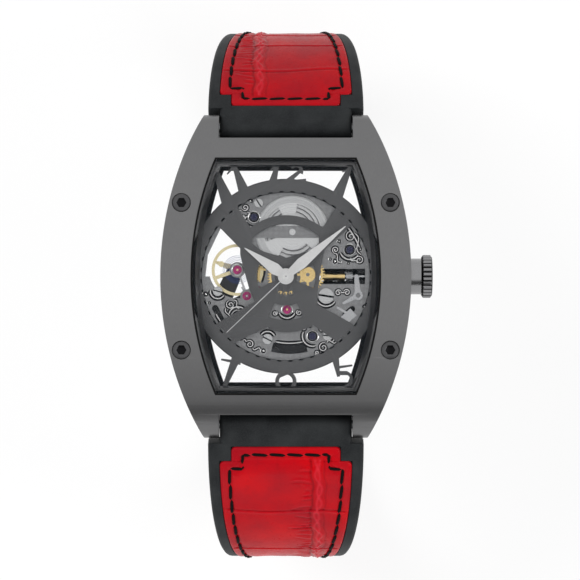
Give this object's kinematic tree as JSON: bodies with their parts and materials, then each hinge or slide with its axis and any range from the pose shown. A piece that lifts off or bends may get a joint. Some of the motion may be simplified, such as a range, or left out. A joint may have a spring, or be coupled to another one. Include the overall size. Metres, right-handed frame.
{
  "type": "skeleton wristwatch",
  "caption": "Tonneau skeleton wristwatch with open-worked dial, visible geared movement, crown, and a rubber and leather strap.",
  "frame": {"origin": "centre of the case back's outer face, on the axis of the hands", "axes": "+Z out of the dial along the hands' axis, +Y towards 12 o'clock, +X towards 3 o'clock and the crown"},
  "size_m": [0.0457, 0.0938, 0.0713],
  "materials": {
    "case_metal": "satin gunmetal plating",
    "dark_screws": "dark satin",
    "black_seal": "matt",
    "crystal_glass": "polished, anti-reflective",
    "back_metal": "brushed",
    "dial_coat": "matt dark grey",
    "hand_metal": "satin white silver",
    "plate_metal": "engraved, rhodium",
    "ruby": "polished",
    "movement_steel": "polished",
    "gilt": "satin gilt",
    "spring_steel": "blued",
    "strap_rubber": "matt",
    "strap_leather": "glossy embossed",
    "buckle_metal": "satin gunmetal plating"
  },
  "bodies": {
    "case": {"case_middle": "case_metal", "bezel": "case_metal", "bezel_screws": "dark_screws", "crystal_gasket": "black_seal", "crystal": "crystal_glass", "rehaut_ring": "case_metal", "case_back": "back_metal", "case_back_gasket": "black_seal", "case_back_glass": "crystal_glass", "case_back_screws": "back_metal", "crown_tube": "case_metal", "movement_ring": "case_metal", "dial_plate": "dial_coat", "main_plate": "plate_metal", "barrel_bridge": "plate_metal", "train_bridge": "plate_metal", "balance_cock": "plate_metal", "pallet_bridge": "plate_metal", "jewels": "ruby", "movement_screws": "movement_steel", "hairspring": "spring_steel", "lever_spring": "movement_steel", "rotor_screw": "movement_steel", "spring_bar_12": "movement_steel", "spring_bar_6": "movement_steel"},
    "seconds": {"fourth_wheel": "gilt", "seconds_hand": "hand_metal"},
    "center": {"center_wheel": "gilt", "cannon_pinion": "movement_steel", "minute_hand": "hand_metal"},
    "third": {"third_wheel": "gilt"},
    "barrel": {"barrel": "movement_steel", "mainspring": "spring_steel"},
    "escape": {"escape_wheel": "movement_steel"},
    "fork": {"pallet_fork": "movement_steel"},
    "balance": {"balance_wheel": "gilt"},
    "minute_works": {"minute_wheel": "gilt"},
    "hour": {"hour_wheel": "gilt", "hour_hand": "hand_metal"},
    "winding": {"winding_pinion": "movement_steel"},
    "crown": {"crown": "case_metal", "winding_stem": "movement_steel"},
    "sliding": {"sliding_pinion": "gilt"},
    "setting": {"setting_lever": "movement_steel"},
    "crown_wheel": {"crown_wheel": "movement_steel"},
    "ratchet": {"ratchet_wheel": "movement_steel"},
    "click": {"click": "movement_steel"},
    "regulator": {"regulator": "gilt"},
    "rotor": {"rotor_plate": "plate_metal", "rotor_weight": "plate_metal"},
    "strap_12": {"strap_12": "strap_rubber", "strap_12_inlay": "strap_leather", "keeper": "strap_rubber"},
    "strap_6": {"strap_6": "strap_rubber", "strap_6_inlay": "strap_leather"},
    "buckle_frame": {"buckle_frame": "buckle_metal", "buckle_bar": "movement_steel"},
    "buckle_tongue": {"buckle_tongue": "buckle_metal"}
  },
  "joints": [
    {"name": "seconds_turn", "type": "hinge", "parent": "case", "child": "seconds", "pos_m": [0, 0, 0.006], "axis": [0, 0, 1], "continuous": true},
    {"name": "third_turn", "type": "hinge", "parent": "case", "child": "third", "pos_m": [0.0002, -0.0056, 0.006], "axis": [0, 0, 1], "continuous": true},
    {"name": "center_turn", "type": "hinge", "parent": "case", "child": "center", "pos_m": [0, 0, 0.007], "axis": [0, 0, 1], "continuous": true},
    {"name": "barrel_turn", "type": "hinge", "parent": "case", "child": "barrel", "pos_m": [0.0011, 0.0075, 0.007], "axis": [0, 0, 1], "continuous": true},
    {"name": "escape_turn", "type": "hinge", "parent": "case", "child": "escape", "pos_m": [-0.0049, -0.0023, 0.006], "axis": [0, 0, 1], "continuous": true},
    {"name": "fork_swing", "type": "hinge", "parent": "case", "child": "fork", "pos_m": [-0.0066, -0.0033, 0.0066], "axis": [0, 0, 1], "range_deg": [-5, 5]},
    {"name": "balance_swing", "type": "hinge", "parent": "case", "child": "balance", "pos_m": [-0.0082, 0.0011, 0.006], "axis": [0, 0, 1], "range_deg": [-270, 270]},
    {"name": "minute_works_turn", "type": "hinge", "parent": "case", "child": "minute_works", "pos_m": [0.0037, 0.0003, 0.0086], "axis": [0, 0, 1], "continuous": true},
    {"name": "hour_turn", "type": "hinge", "parent": "case", "child": "hour", "pos_m": [0, 0, 0.009], "axis": [0, 0, 1], "continuous": true},
    {"name": "crown_spin", "type": "hinge", "parent": "case", "child": "winding", "pos_m": [0.01, 0, 0.0062], "axis": [1, 0, 0], "continuous": true},
    {"name": "crown_pull", "type": "slide", "parent": "winding", "child": "crown", "axis": [1, 0, 0], "range_m": [0, 0.001]},
    {"name": "sliding_pinion_shift", "type": "slide", "parent": "winding", "child": "sliding", "axis": [1, 0, 0], "range_m": [-0.0007, 0]},
    {"name": "setting_lever_turn", "type": "hinge", "parent": "case", "child": "setting", "pos_m": [0.0122, -0.0032, 0.0085], "axis": [0, 0, 1], "range_deg": [-18, 0]},
    {"name": "crown_wheel_turn", "type": "hinge", "parent": "case", "child": "crown_wheel", "pos_m": [0.008, 0.002, 0.004], "axis": [0, 0, 1], "continuous": true},
    {"name": "ratchet_turn", "type": "hinge", "parent": "case", "child": "ratchet", "pos_m": [0.0011, 0.0075, 0.004], "axis": [0, 0, 1], "continuous": true},
    {"name": "click_lift", "type": "hinge", "parent": "case", "child": "click", "pos_m": [-0.0063, 0.0085, 0.0037], "axis": [0, 0, 1], "range_deg": [0, 8]},
    {"name": "regulator_shift", "type": "hinge", "parent": "case", "child": "regulator", "pos_m": [-0.0082, 0.0011, 0.0038], "axis": [0, 0, 1], "range_deg": [-6, 6]},
    {"name": "rotor_turn", "type": "hinge", "parent": "case", "child": "rotor", "pos_m": [0, 0, 0.003], "axis": [0, 0, 1], "continuous": true},
    {"name": "strap_12_fold", "type": "hinge", "parent": "case", "child": "strap_12", "pos_m": [0, 0.0251, 0.00612], "axis": [1, 0, 0], "range_deg": [-3, 36]},
    {"name": "strap_6_fold", "type": "hinge", "parent": "case", "child": "strap_6", "pos_m": [0, -0.0251, 0.00612], "axis": [-1, 0, 0], "range_deg": [-3, 12]},
    {"name": "buckle_fold", "type": "hinge", "parent": "strap_12", "child": "buckle_frame", "pos_m": [0, 0.0166, -0.05211], "axis": [1, 0, 0], "range_deg": [-70, 12]},
    {"name": "tongue_lift", "type": "hinge", "parent": "buckle_frame", "child": "buckle_tongue", "pos_m": [0, 0.0166, -0.05211], "axis": [1, 0, 0], "range_deg": [0, 70]}
  ],
  "couplings": [
    {"joint": "third_turn", "follows": "seconds_turn", "ratio": -0.13333},
    {"joint": "center_turn", "follows": "seconds_turn", "ratio": 0.016667},
    {"joint": "barrel_turn", "follows": "seconds_turn", "ratio": -0.0027778},
    {"joint": "escape_turn", "follows": "seconds_turn", "ratio": -10},
    {"joint": "minute_works_turn", "follows": "seconds_turn", "ratio": -0.0055556},
    {"joint": "hour_turn", "follows": "seconds_turn", "ratio": 0.0013889},
    {"joint": "crown_wheel_turn", "follows": "crown_spin", "ratio": 0.72727},
    {"joint": "ratchet_turn", "follows": "crown_spin", "ratio": -0.38095},
    {"joint": "sliding_pinion_shift", "follows": "crown_pull", "ratio": -0.7},
    {"joint": "setting_lever_turn", "follows": "crown_pull", "rad_per_m": -303.69}
  ]
}
